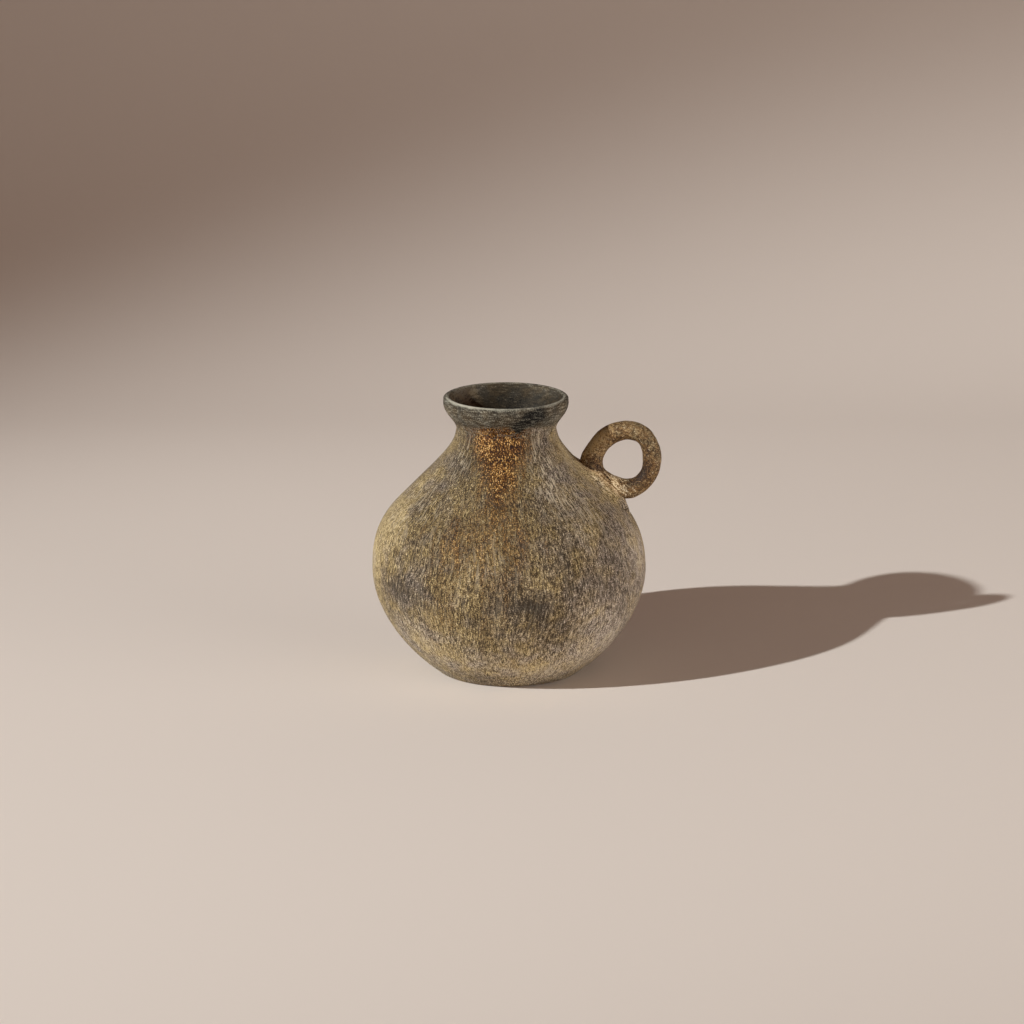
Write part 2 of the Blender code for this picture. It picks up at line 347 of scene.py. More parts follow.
outer_end, inner_end = collar_outside[-1], collar_inside[-1]
crest = (CREST_RADIUS, RIM_TOP - 0.02 * MM)
lip_edge = (inner_end[0] + 0.25 * MM, RIM_TOP - 0.75 * MM)
lip = bezier(outer_end, outer_end + (-0.1 * MM, 0.7 * MM), (crest[0] + 0.8 * MM, crest[1]), crest)
lip += bezier(crest, (crest[0] - 0.6 * MM, crest[1]),
              (lip_edge[0] + 0.05 * MM, lip_edge[1] + 0.4 * MM), lip_edge)[1:]
rising = spaced(np.array([(neck_radius, NECK_END)] + list(collar_outside)), COLLAR_STEP)
socket_top = (neck_bore, NECK_END + 2 * SOCKET_DEPTH)
falling = spaced(np.array(list(collar_inside[::-1]) + [socket_top]), COLLAR_STEP)
bed = [(neck_bore, NECK_END + SOCKET_DEPTH), (neck_radius - 0.3 * MM, NECK_END + SOCKET_DEPTH)]
collar_line = np.array(list(rising) + lip[1:] + list(falling) + bed)
collar_reach = along(collar_line)
CREST_RING = len(rising) + LIP_POINTS - 2
print(len(collar_line), "rings; the crest's radius and height in mm:", collar_line[CREST_RING] / MM)

# %% The collar's skin
ROLL_SIZE, ROLL_DEPTH = 15 * MM, 0.18 * MM
FINGER_SIZE, FINGER_DEPTH = 2.4 * MM, 0.10 * MM
FINGER_STRETCH = 0.12
COLLAR_FADE = 4 * MM
CREST_LEAST, CREST_RINGS = 2, 8

collar_rings, collar_brush = [], []
for i, (radius, height) in enumerate(collar_line):
    inner = i > CREST_RING
    bedded = i >= len(collar_line) - len(bed)
    crest_fade = (abs(i - CREST_RING) + CREST_LEAST) / CREST_RINGS
    fade = 0.0 if bedded else min(1.0, (height - NECK_END) / COLLAR_FADE, crest_fade)
    reach = body_reach[LAST_OUTSIDE] + collar_reach[i]
    ring = []
    for j in range(AROUND):
        outward = Vector((cos(2 * pi * j / AROUND), sin(2 * pi * j / AROUND), 0.0))
        point = outward * radius + Vector((centre_at(height), 0.0, height))
        finger = outward * FINGER_STRETCH * radius + Vector((0.0, 0.0, collar_reach[i]))
        cut = ROLL_DEPTH * (1 + unevenness(point, ROLL_SIZE)) / 2
        cut += FINGER_DEPTH * (1 + unevenness(finger, FINGER_SIZE)) / 2
        ring.append(point + outward * (cut if inner else -cut) * fade)
        collar_brush.append(brush_place(j, radius, reach))
    collar_rings.append(ring)

collar = skin("rolled_collar", collar_rings, looped=True)
keep_vectors(collar, "brush", collar_brush)
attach(collar, "root")
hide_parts("rim_collar")
print("collar:", len(collar.data.polygons), "faces")

# %% [markdown]
# ## The ring handle
# The handle is a coil as thick as a pencil, bent into a ring by hand and pressed onto the
# shoulder while soft. So it isn't a perfect torus: it is flat at its upper left, full at its upper
# right, and its two ends are pressed wide where they meet the pot. A curve with a round bevel could
# give a coil as well, but its points couldn't be pressed one by one. So a short table gives the
# shape, and each point that would sink into the shoulder is pushed back out to it.

# %% How far a point stands off the pot
wall_slope = np.gradient(wall_outside[:, 0], wall_outside[:, 1])
wall_reach = along(wall_outside)


def outward_at(turn, height):
    slope = np.interp(height, wall_outside[:, 1], wall_slope)
    return Vector((cos(turn), sin(turn), -slope)).normalized()


def stand_off(point):
    """The height of a point above the pot's wall, and the wall's outward direction there."""
    across = Vector((point.x - centre_at(point.z), point.y))
    facing = outward_at(atan2(across.y, across.x), point.z)
    radius = np.interp(point.z, wall_outside[:, 1], wall_outside[:, 0])
    return (across.length - radius) * hypot(facing.x, facing.y), facing


print("the wall is", round(wall_reach[-1] / MM, 1), "mm long from the foot up to the neck")

# %% The ring's line
RING_CENTRE = Vector((48.7, 0.0, 91.9)) * MM
# bearing from +X in degrees, then the radius of the coil's middle line and of the coil in mm
RING_SHAPE = np.array([
    (0, 12.5, 4.15), (22, 12.8, 4.2), (50, 13.6, 3.95), (75, 13.2, 4.15), (100, 12.4, 4.45),
    (125, 11.9, 4.5), (148, 11.9, 4.45), (168, 12.7, 4.75), (183, 13.7, 5.2), (205, 13.4, 4.6),
    (232, 12.4, 4.4), (258, 12.2, 4.5), (280, 13.3, 4.7), (302, 13.2, 4.0), (330, 12.9, 3.95)])
RING_STEPS, EASE_STEPS = 240, 13

bearings = np.arange(RING_STEPS) * 360 / RING_STEPS
eased = []
for column in (1, 2):
    values = np.interp(bearings, RING_SHAPE[:, 0], RING_SHAPE[:, column] * MM, period=360)
    eased.append(np.mean([np.roll(values, k - EASE_STEPS // 2) for k in range(EASE_STEPS)], axis=0))
thinnest, thickest = [round(2 * radius / MM, 1) for radius in (eased[1].min(), eased[1].max())]
print("the coil is", thinnest, "to", thickest, "mm thick")

# %% The ring's skin
COIL_STEPS = 52
SEAT = 0.1 * MM
# the shifts turn the lumps and dimples inwards, so that the coil stays inside its measured size
LUMP_SIZE, LUMP_DEPTH, LUMP_SHIFT = 8 * MM, 0.24 * MM, 0.6
DIMPLE_SIZE, DIMPLE_DEPTH, DIMPLE_SHIFT = 2.6 * MM, 0.10 * MM, 0.5

ring_rings = []
for bearing, ring_radius, coil_radius in zip(np.radians(bearings), *eased):
    radial = Vector((cos(bearing), 0.0, sin(bearing)))
    ring = []
    for j in range(COIL_STEPS):
        roll = -2 * pi * j / COIL_STEPS
        outward = radial * cos(roll) + Vector((0.0, sin(roll), 0.0))
        point = RING_CENTRE + radial * ring_radius + outward * coil_radius
        lump = LUMP_DEPTH * (unevenness(point, LUMP_SIZE) - LUMP_SHIFT)
        lump += DIMPLE_DEPTH * (unevenness(point, DIMPLE_SIZE) - DIMPLE_SHIFT)
        point += outward * lump
        height, facing = stand_off(point)
        ring.append(point + facing * max(0.0, SEAT - height))
    ring_rings.append(ring)

handle = skin("ring_of_coil", ring_rings, looped=True)
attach(handle, "root")
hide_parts("ring_handle")
print("ring:", len(handle.data.polygons), "faces")

# %% [markdown]
# ## The saddle
# Soft clay was smeared over the joint to hold the ring: a low pad that hugs the shoulder,
# thickest under the ring and drawn out to nothing at its edge. A Shrinkwrap modifier could press a
# flat disc onto the pot, but would pull its rings out of shape. So the disc is laid out on the
# shoulder itself, measured down the slope and around the pot, and follows the curve. Each point
# keeps how far it lies towards the edge, where the clay thins out to the slip below.

# %% Places on the shoulder
SADDLE_DRAWN_UP = 6.8 * MM

saddle_low, saddle_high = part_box("handle_saddle")
saddle_height = (saddle_low.z + saddle_high.z) / 2
saddle_middle = np.interp(saddle_height, wall_outside[:, 1], wall_reach) + SADDLE_DRAWN_UP


def on_shoulder(down, around, lift):
    """A point on the pot: down the slope from the saddle's middle, around it, and off the wall."""
    radius, height = [np.interp(saddle_middle - down, wall_reach, wall_outside[:, i]) for i in (0, 1)]
    turn = around / radius
    foot = Vector((centre_at(height) + radius * cos(turn), radius * sin(turn), height))
    return foot + outward_at(turn, height) * lift


print("the saddle's middle in mm:", [round(value / MM, 1) for value in on_shoulder(0, 0, 0)])

# %% The saddle's skin
SADDLE_RINGS, SADDLE_AROUND = 34, 160
SADDLE_HALF_LENGTH, SADDLE_HALF_WIDTH = 20.5 * MM, 9.0 * MM
SADDLE_RISE, SADDLE_SUNK = 3.0 * MM, 0.5 * MM
RAGGED_DEPTH, RAGGED_TURNS, RAGGED_LEVEL = 0.12, 2.6, 0.3
TAPER_START, TAPER_EASE = 3.0 * MM, 1.5
TAPER_LENGTH = (1 + RAGGED_DEPTH) * SADDLE_HALF_LENGTH - TAPER_START
FILLET_RISE, FILLET_PLACE, FILLET_WIDTH = 1.9 * MM, 4.2 * MM, 2.2 * MM
SMEAR_SIZE, SMEAR_DEPTH = 2.2 * MM, 0.30 * MM
SMEAR_STRETCH = 0.3
FIRST_REACH = 0.03

saddle_rings, saddle_layout, saddle_reach = [], [], []
reaches = np.linspace(FIRST_REACH, 1.0, SADDLE_RINGS)
for upper in (False, True):
    for reach in (reaches[::-1] if upper else reaches):
        ring = []
        for j in range(SADDLE_AROUND):
            bearing = 2 * pi * j / SADDLE_AROUND
            edge_place = Vector((cos(bearing), sin(bearing), RAGGED_LEVEL)) * RAGGED_TURNS
            ragged = 1 + RAGGED_DEPTH * noise.noise(edge_place)
            down = SADDLE_HALF_LENGTH * reach * ragged * cos(bearing)
            around = SADDLE_HALF_WIDTH * reach * ragged * sin(bearing)
            lift = -SADDLE_SUNK
            if upper:
                smear_place = Vector((down * SMEAR_STRETCH, around, 0.0))
                smear = SMEAR_DEPTH * unevenness(smear_place, SMEAR_SIZE)
                fillet = FILLET_RISE * exp(-((abs(around) - FILLET_PLACE) / FILLET_WIDTH) ** 2)
                drawn = max(0.0, -down - TAPER_START) / TAPER_LENGTH
                rise = (SADDLE_RISE + SADDLE_SUNK + smear) * (1 - reach ** 3)
                rise += fillet * (1 - reach ** 2)
                lift += rise * (1 - min(1.0, drawn)) ** TAPER_EASE
            ring.append(on_shoulder(down, around, lift))
            saddle_layout.append((around, 0.0, down))
            saddle_reach.append(reach)
        saddle_rings.append(ring)

saddle = skin("smeared_saddle", saddle_rings,
              poles=(on_shoulder(0, 0, -SADDLE_SUNK), on_shoulder(0, 0, SADDLE_RISE)))
saddle_layout += [(0.0, 0.0, 0.0)] * 2
saddle_reach += [0.0, 0.0]
keep_vectors(saddle, "brush", saddle_layout)
keep_numbers(saddle, "reach", saddle_reach)
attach(saddle, "root")
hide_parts("handle_saddle")
print("saddle:", len(saddle.data.polygons), "faces")

# %% [markdown]
# ## Floor and light
# The photograph has a pale warm sheet that sweeps up behind the vase, and one hard lamp low on the
# left, like late sun, whose long shadow falls to the right. A sun lamp would light the sheet behind
# as much as the vase, so the lamp is a spot with a soft rim, which leaves the sheet behind in half
# shade. Two dim cards stand low on the right and in front: they light the upright shaded side of the
# vase, while the shadow on the floor hardly sees them. A warm room does the rest.

# %% The sheet under and behind the vase
SHEET_HALF_WIDTH = 4.0
SHEET_FRONT = -3.0
SWEEP_START, SWEEP_RADIUS = 0.45, 0.8
SHEET_TOP = 3.5
SWEEP_STEP = 3

sheet_line = [(SHEET_FRONT, 0.0), (SWEEP_START, 0.0)]
sheet_line += [(SWEEP_START + SWEEP_RADIUS * sin(radians(a)), SWEEP_RADIUS * (1 - cos(radians(a))))
               for a in range(SWEEP_STEP, 90 + SWEEP_STEP, SWEEP_STEP)]
sheet_line.append((SWEEP_START + SWEEP_RADIUS, SHEET_TOP))
sheet_points = [(x, y, z) for y, z in sheet_line for x in (-SHEET_HALF_WIDTH, SHEET_HALF_WIDTH)]
sheet_faces = [(2 * i, 2 * i + 1, 2 * i + 3, 2 * i + 2) for i in range(len(sheet_line) - 1)]
sheet_mesh = bpy.data.meshes.new("paper_sheet")
sheet_mesh.from_pydata(sheet_points, [], sheet_faces)
sheet_mesh.shade_smooth()
sheet = bpy.data.objects.new("paper_sheet", sheet_mesh)
bpy.context.scene.collection.objects.link(sheet)
print("sheet of", len(sheet_faces), "faces")

# %% Lamp and cards
LAMP_DIRECTION = Vector((-0.767, -0.430, 0.476))
LAMP_DISTANCE, LAMP_POWER, LAMP_CONE = 5.0, 1160.0, radians(18.5)
CARD_DISTANCE, CARD_WIDTH, CARD_HEIGHT = 1.5, 1.3, 0.3
CARDS = (("right_card", Vector((0.88, -0.48, 0.08)), 13.0),
         ("front_card", Vector((-0.40, -0.91, 0.08)), 3.0))


def linear(hex_colour):
    """An sRGB hex colour as the linear values that Blender's sockets hold."""
    parts = [int(hex_colour[i:i + 2], 16) / 255 for i in (1, 3, 5)]
    return tuple(p / 12.92 if p <= 0.04045 else ((p + 0.055) / 1.055) ** 2.4 for p in parts) + (1.0,)


def light_at(light, direction, distance, power, colour):
    light.energy = power
    light.color = linear(colour)[:3]
    holder = bpy.data.objects.new(light.name, light)
    holder.location = AIM + distance * direction.normalized()
    holder.rotation_euler = (-direction).to_track_quat("-Z", "Y").to_euler()
    bpy.context.scene.collection.objects.link(holder)
    print(light.name, power, "W at", [round(value, 2) for value in holder.location])


lamp = bpy.data.lights.new("lamp", "SPOT")
lamp.spot_size = LAMP_CONE
lamp.spot_blend = 1.0
lamp.shadow_soft_size = 0.045
light_at(lamp, LAMP_DIRECTION, LAMP_DISTANCE, LAMP_POWER, "#FAFEFF")

for name, direction, power in CARDS:
    card = bpy.data.lights.new(name, "AREA")
    card.shape = "RECTANGLE"
    card.size = CARD_WIDTH
    card.size_y = CARD_HEIGHT
    light_at(card, direction, CARD_DISTANCE, power, "#FFFCF8")

# %% The room
ROOM_STRENGTH = 0.11

world = bpy.data.worlds.new("warm_room")
world.use_nodes = True
background = world.node_tree.nodes["Background"]
background.inputs["Color"].default_value = linear("#FFC4A2")
background.inputs["Strength"].default_value = ROOM_STRENGTH
bpy.context.scene.world = world
bpy.context.scene.view_settings.view_transform = "Standard"
print("the room's light has strength", ROOM_STRENGTH)

# %% [markdown]
# ## A helper for materials
# One function adds a shader node, sets its values and links its inputs: a value that is itself a
# socket becomes a link. A pattern's scale is one over its real size, so sizes stay in millimetres.

# %% The node helper


def add(tree, kind, inputs=(), stops=(), **settings):
    """Adds a node, with its settings, values and links, and gives its outputs; stops fill a ramp."""
    node = tree.nodes.new(kind)
    for name, value in settings.items():
        setattr(node, name, value)
    for name, value in dict(inputs).items():
        if isinstance(value, bpy.types.NodeSocket):
            tree.links.new(value, node.inputs[name])
        else:
            node.inputs[name].default_value = value
    for i, (place, colour) in enumerate(stops):
        elements = node.color_ramp.elements
        element = elements[i] if i < 2 else elements.new(place)
        element.position = place
        element.color = linear(colour)
    return node.outputs


def per(size):
    """The scale of a pattern whose parts are this size."""
    return 1.0 / size


def new_material(name):
    material = bpy.data.materials.new(name)
    material.use_nodes = True
    return material, material.node_tree, material.node_tree.nodes["Principled BSDF"]


print("a pattern with parts of 2 mm has the scale", per(2 * MM))

# %% [markdown]
# ## Matt paper under the vase
# The sheet is thick uncoated paper, pressed smooth: no gloss and no grain that shows at this
# distance, only a pale warm ground that takes the shadow softly. So plain values do, set on the
# shader itself.

# %% The sheet's paper
paper, tree, surface = new_material("matt_paper")
surface.inputs["Base Color"].default_value = linear("#E9DED4")
surface.inputs["Roughness"].default_value = 0.9
surface.inputs["Specular IOR Level"].default_value = 0.2
sheet.data.materials.append(paper)
print("paper:", len(tree.nodes), "nodes")

# %% [markdown]
# ## Where dust, smoke, rust and painted light lie
# The vase was smoked in its firing and has stood for years: smoke clouds lie round the belly, dust
# and bare clay at the foot and down both sides, and an iron-rich run of slip has fired rusty at the
# front of the neck. The pale sides are partly dust and partly a painted highlight along the edges as
# the camera sees them. Such things could be brushed on in Vertex Paint. Written as soft patches on
# the points of each mesh they are easier to move: a bearing from the front in degrees, a height in
# millimetres, how far the patch spreads each way, and how strong it is. "Lift" makes the surface
# paler or darker, for the clay's own tone and for painted light and shade, "warm" turns its hue,
# "dust" lets pale hairs show, "rust" lays the iron on and "gold" brightens it. The material's own
# grain then roughens the edges of every patch.

# %% Helpers that paint patches on the points


def points_of(piece):
    flat = np.zeros(len(piece.data.vertices) * 3)
    piece.data.vertices.foreach_get("co", flat)
    return flat.reshape(-1, 3)


def bearing_and_height(points):
    """Degrees from the front, positive towards the handle, and millimetres above the floor."""
    centres = LEAN * np.maximum(0.0, points[:, 2] - BELLY_HEIGHT)
    return np.degrees(np.arctan2(points[:, 0] - centres, -points[:, 1])), points[:, 2] / MM


def painted(across, along_it, patches):
    """The sum of soft patches: (middle, level, spread across, spread along, strength)."""
    total = np.zeros(len(across))
    for middle, level, wide, tall, strength in patches:
        apart = (across - middle + 180) % 360 - 180
        total += strength * np.exp(-(apart / wide) ** 2 - ((along_it - level) / tall) ** 2)
    return total


print("the body is painted up to", round(bearing_and_height(points_of(body))[1].max(), 1), "mm")

# %% The body's patches
# the patches near -80 and 80 degrees, and those at 72 to 84 on the neck, make the edges paler as the
# camera sees them: partly dust, partly a painted highlight along the edges
BODY_LIFT = [(-80, 58, 17, 26, 0.46), (-48, 46, 13, 8, -0.34), (-30, 33, 16, 8, 0.10),
             (3, 48, 12, 6, -0.20), (9, 43, 9, 5, -0.40), (52, 46, 11, 9, -0.12),
             (-16, 60, 44, 30, -0.02), (-18, 60, 9, 9, 0.09), (14, 70, 12, 9, 0.05),
             (0, 14, 70, 9, 0.32), (-46, 25, 20, 10, 0.22), (46, 25, 20, 10, 0.28),
             (38, 40, 14, 10, 0.10), (62, 56, 16, 18, 0.14), (46, 76, 20, 12, 0.08),
             (-42, 98, 34, 14, -0.25), (80, 58, 15, 30, 0.32), (72, 92, 18, 14, 0.25),
             (72, 101, 9, 6, 0.14), (80, 92, 9, 8, 0.18), (84, 84, 9, 7, 0.12),
             (145, 50, 22, 12, -0.20), (-128, 40, 20, 9, -0.18), (-100, 72, 16, 12, 0.06),
             (110, 40, 16, 8, -0.12), (-165, 74, 20, 14, -0.10), (180, 14, 80, 10, 0.22),
             (130, 84, 24, 14, 0.10)]
BODY_WARM = [(-72, 56, 26, 34, 0.55), (-16, 62, 40, 40, 0.42), (0, 90, 30, 24, 0.35),
             (-48, 22, 24, 12, -0.20), (0, 18, 50, 12, 0.15), (60, 50, 28, 30, -0.50),
             (44, 92, 20, 18, -0.35), (46, 22, 30, 12, -0.40), (-48, 45, 14, 10, -0.80),
             (-50, 88, 16, 10, -0.30), (48, 76, 18, 12, 0.30), (74, 94, 14, 16, 0.60),
             (90, 86, 14, 14, 0.50), (6, 46, 12, 7, -0.25), (-140, 60, 40, 40, 0.30),
             (140, 50, 30, 30, -0.25), (180, 115, 32, 9, 0.20), (-28, 36, 18, 12, 0.30)]
DUSTY = [(-48, 100, 12, 9, 0.55), (-60, 78, 18, 12, 0.40), (38, 98, 13, 11, 0.90),
         (32, 88, 12, 9, 0.50), (58, 78, 18, 12, 0.60), (68, 98, 9, 14, 0.60),
         (-62, 24, 22, 12, 0.45), (48, 22, 24, 11, 0.50), (20, 8, 50, 6, 0.35),
         (-10, 60, 12, 6, 0.25), (150, 96, 30, 12, 0.60), (-120, 90, 30, 14, 0.50),
         (180, 16, 60, 10, 0.40)]
RUST = [(-9, 106, 40, 8, 0.70), (-5, 97, 24, 9, 0.42), (-4, 90, 15, 6, 0.30), (-4, 78, 14, 9, 0.22),
        (-26, 70, 14, 9, 0.12), (14, 70, 12, 9, 0.10), (-4, 66, 18, 10, 0.08),
        (-18, 60, 36, 24, 0.27), (-20, 32, 26, 9, 0.14), (-2, 17, 22, 6, 0.14),
        (66, 100, 9, 8, 0.30), (0, 0, 60, 1.5, 0.45), (152, 106, 28, 7, 0.40),
        (172, 92, 14, 12, 0.22)]
GOLDEN = [(-24, 105, 13, 6, 0.22), (6, 103, 9, 6, 0.10), (-10, 90, 4, 5, 0.24), (4, 91, 4, 5, 0.20)]
BASE_LIFT, BASE_GOLD, BASE_DUST = -0.165, -0.26, 0.10

for piece in (body, collar, saddle):
    bearing, height = bearing_and_height(points_of(piece))
    keep_numbers(piece, "lift", painted(bearing, height, BODY_LIFT) + BASE_LIFT)
    keep_numbers(piece, "warm", painted(bearing, height, BODY_WARM))
    keep_numbers(piece, "rust", painted(bearing, height, RUST))
    keep_numbers(piece, "gold", painted(bearing, height, GOLDEN) + BASE_GOLD)
    keep_numbers(piece, "dust", painted(bearing, height, DUSTY) + BASE_DUST)
    print(piece.name, "painted at", len(bearing), "points")

# %% [markdown]
# ## One recipe for clay
# Every finish of this vase is clay worked by hand, so all share a recipe: strokes drawn out along
# the way the brush or finger went, grit, broad clouds, and a hue that wanders between two rows of
# colours. A Wave texture would draw strokes too, but all alike; stretched noise breaks off and starts
# again as bristles do. Noise lies round a half, so each range below is stretched out from there. What
# differs is the colours, the sizes and the direction of the strokes. The real grit, and the mark of
# one bristle, is about a quarter of a millimetre; both are drawn about twice as coarse, to show.

# %% The recipe
STROKE_SHARE = 0.48
GRAIN_RANGE, HUE_RANGE = 0.105, 0.18
CLOUDING = 0.72


def clay(tree, stretch, stroke, grit, cloud, cool, warm, paint="lift", spread=GRAIN_RANGE):
    """Colour and grain of worked clay; sizes in metres, cool and warm are rows of hex colours."""
    place = add(tree, "ShaderNodeTexCoord")["Object"]
    brush = add(tree, "ShaderNodeAttribute", attribute_name="brush")["Vector"]
    lift = add(tree, "ShaderNodeAttribute", attribute_name=paint)["Fac"]
    warmth = add(tree, "ShaderNodeAttribute", attribute_name="warm")["Fac"]
    drawn_out = add(tree, "ShaderNodeVectorMath", {0: brush, 1: stretch}, operation="MULTIPLY")[0]
    strokes, grits, clouds, hues = [
        add(tree, "ShaderNodeTexNoise", {"Vector": where, "Scale": per(size), "Detail": detail})["Fac"]
        for where, size, detail in ((drawn_out, stroke, 2.0), (place, grit, 1.0),
                                    (place, cloud, 4.0), (place, cloud / 2, 3.0))]
    grain = add(tree, "ShaderNodeMix", {0: STROKE_SHARE, 2: grits, 3: strokes})[0]
    tone = add(tree, "ShaderNodeMapRange", {"Value": grain, "From Min": 0.5 - spread,
                                            "From Max": 0.5 + spread}, clamp=False)[0]
    tone = add(tree, "ShaderNodeMath", {0: clouds, 1: CLOUDING, 2: tone}, operation="MULTIPLY_ADD")[0]
    tone = add(tree, "ShaderNodeMath", {0: tone, 1: lift}, operation="ADD")[0]
    tone = add(tree, "ShaderNodeMath", {0: tone, 1: CLOUDING / 2}, operation="SUBTRACT",
               use_clamp=True)[0]
    hue = add(tree, "ShaderNodeMapRange", {"Value": hues, "From Min": 0.5 - HUE_RANGE,
                                           "From Max": 0.5 + HUE_RANGE})[0]
    hue = add(tree, "ShaderNodeMath", {0: hue, 1: warmth}, operation="ADD", use_clamp=True)[0]
    cool_row, warm_row = [
        add(tree, "ShaderNodeValToRGB", {0: tone}, stops=list(zip(np.linspace(0, 1, len(row)), row)))[0]
        for row in (cool, warm)]
    colour = add(tree, "ShaderNodeMix", {0: hue, 6: cool_row, 7: warm_row}, data_type="RGBA")[2]
    return colour, grain


print("recipe: strokes make up", STROKE_SHARE, "of the grain, grit the rest")

# %% [markdown]
# ## Brushed slip on stoneware
# The body wears a thin slip, brushed on up the wall and smoked: matt and dusty, with cream brush
# strokes over olive brown, greyer and more mauve towards the right, and pale hairs of dust caught
# along the strokes. Where iron bled through, the same recipe runs again in gold and russet, and long
# runs and the slip's own grain fray its edge. The hairs and runs are real brush marks, one and three
# millimetres wide. Dust scatters light at a glance, which a little sheen stands in for.

# %% The slip, with its dust and its iron
SLIP_STRETCH = (1.0, 1.0, 0.21)
SLIP_STROKE, SLIP_GRIT, SLIP_CLOUD = 0.5 * MM, 0.42 * MM, 16 * MM
HAIR_STRETCH = (1.0, 1.0, 0.07)
HAIR_WIDTH = 1.1 * MM
HAIR_START, HAIR_FULL = 0.53, 0.64
OLIVE = ("#302414", "#54432A", "#6D5B3C", "#85714A", "#A08B64", "#C8B489")
MAUVE = ("#2E261D", "#51463A", "#6B5E52", "#827365", "#9F9183", "#C7BBAA")
GOLD = ("#1E0C00", "#3A1F06", "#5A3810", "#80541C", "#AE8444", "#E2C084")
RUSSET = ("#1A0A02", "#341A0A", "#502C13", "#6E4020", "#8E5C34", "#BA8A5C")
IRON_STRETCH, IRON_RANGE = (1.0, 1.0, 0.4), 0.10
IRON_STROKE, IRON_GRIT, IRON_CLOUD = 0.6 * MM, 0.5 * MM, 5 * MM
RUST_GAIN, RUST_START = 2.6, -2.0
RUN_WIDTH, RUN_FRAY, SPECK_FRAY = 3.0 * MM, 1.8, 1.2
DUST = "#B9AB92"


def slip(tree):
    """Colour and grain of the brushed slip, with the dust and the iron stain that lie on it."""
    colour, grain = clay(tree, SLIP_STRETCH, SLIP_STROKE, SLIP_GRIT, SLIP_CLOUD, MAUVE, OLIVE)
    brush = add(tree, "ShaderNodeAttribute", attribute_name="brush")["Vector"]
    dust = add(tree, "ShaderNodeAttribute", attribute_name="dust")["Fac"]
    rust = add(tree, "ShaderNodeAttribute", attribute_name="rust")["Fac"]
    drawn_out = add(tree, "ShaderNodeVectorMath", {0: brush, 1: HAIR_STRETCH}, operation="MULTIPLY")[0]
    hairs, runs = [
        add(tree, "ShaderNodeTexNoise",
            {"Vector": drawn_out, "Scale": per(width), "Detail": detail})["Fac"]
        for width, detail in ((HAIR_WIDTH, 2.0), (RUN_WIDTH, 4.0))]
    hairs = add(tree, "ShaderNodeMapRange", {"Value": hairs, "From Min": HAIR_START,
                                             "From Max": HAIR_FULL})[0]
    caught = add(tree, "ShaderNodeMath", {0: hairs, 1: dust}, operation="MULTIPLY", use_clamp=True)[0]
    colour = add(tree, "ShaderNodeMix", {0: caught, 6: colour, 7: linear(DUST)}, data_type="RGBA")[2]
    iron = clay(tree, IRON_STRETCH, IRON_STROKE, IRON_GRIT, IRON_CLOUD, RUSSET, GOLD, "gold",
                IRON_RANGE)[0]
    frayed = add(tree, "ShaderNodeMath", {0: runs, 1: RUN_FRAY, 2: RUST_START},
                 operation="MULTIPLY_ADD")[0]
    frayed = add(tree, "ShaderNodeMath", {0: grain, 1: SPECK_FRAY, 2: frayed},
                 operation="MULTIPLY_ADD")[0]
    rusty = add(tree, "ShaderNodeMath", {0: rust, 1: RUST_GAIN, 2: frayed},
                operation="MULTIPLY_ADD", use_clamp=True)[0]
    return add(tree, "ShaderNodeMix", {0: rusty, 6: colour, 7: iron}, data_type="RGBA")[2], grain


print("slip strokes are", round(SLIP_STROKE / MM, 2), "mm wide, hairs", round(HAIR_WIDTH / MM, 2), "mm")

# %% The body's material
slip_material, tree, surface = new_material("brushed_slip_on_stoneware")
colour, grain = slip(tree)
relief = add(tree, "ShaderNodeBump", {"Height": grain, "Distance": 0.12 * MM, "Strength": 0.6})[0]
tree.links.new(colour, surface.inputs["Base Color"])
tree.links.new(relief, surface.inputs["Normal"])
surface.inputs["Roughness"].default_value = 0.88
surface.inputs["Specular IOR Level"].default_value = 0.3
surface.inputs["Sheen Weight"].default_value = 0.10
surface.inputs["Sheen Roughness"].default_value = 0.5
surface.inputs["Sheen Tint"].default_value = linear("#EADBB8")
body.data.materials.append(slip_material)
print("slip:", len(tree.nodes), "nodes")

# %% [markdown]
# ## Bare dark clay inside
# Nobody brushes the inside of so narrow a neck: the wall there is bare stoneware, coloured near black
# and left rough. It is a second material of the body, on the faces beyond the end of the neck.

# %% The inside of the body
# near-black browns for the inside wall
NEAR_BLACK = ("#15120E", "#231E18", "#322B22", "#443B2F")
BROWN_NEAR_BLACK = ("#1A140D", "#2B2217", "#3D3122", "#524330")

inside_material, tree, surface = new_material("bare_near_black_stoneware")
colour = clay(tree, SLIP_STRETCH, 2 * SLIP_STROKE, SLIP_GRIT, SLIP_CLOUD, NEAR_BLACK, BROWN_NEAR_BLACK)[0]
tree.links.new(colour, surface.inputs["Base Color"])
surface.inputs["Roughness"].default_value = 0.95
surface.inputs["Specular IOR Level"].default_value = 0.2
body.data.materials.append(inside_material)

# the rings of faces come first, and then a fan for the underside and one for the floor, in turns
first_fan = (len(body_line) - 1) * AROUND
inside_faces = [int(LAST_OUTSIDE < i // AROUND if i < first_fan else (i - first_fan) % 2)
                for i in range(len(body.data.polygons))]
body.data.polygons.foreach_set("material_index", np.array(inside_faces, np.int32))
print(sum(inside_faces), "faces inside")
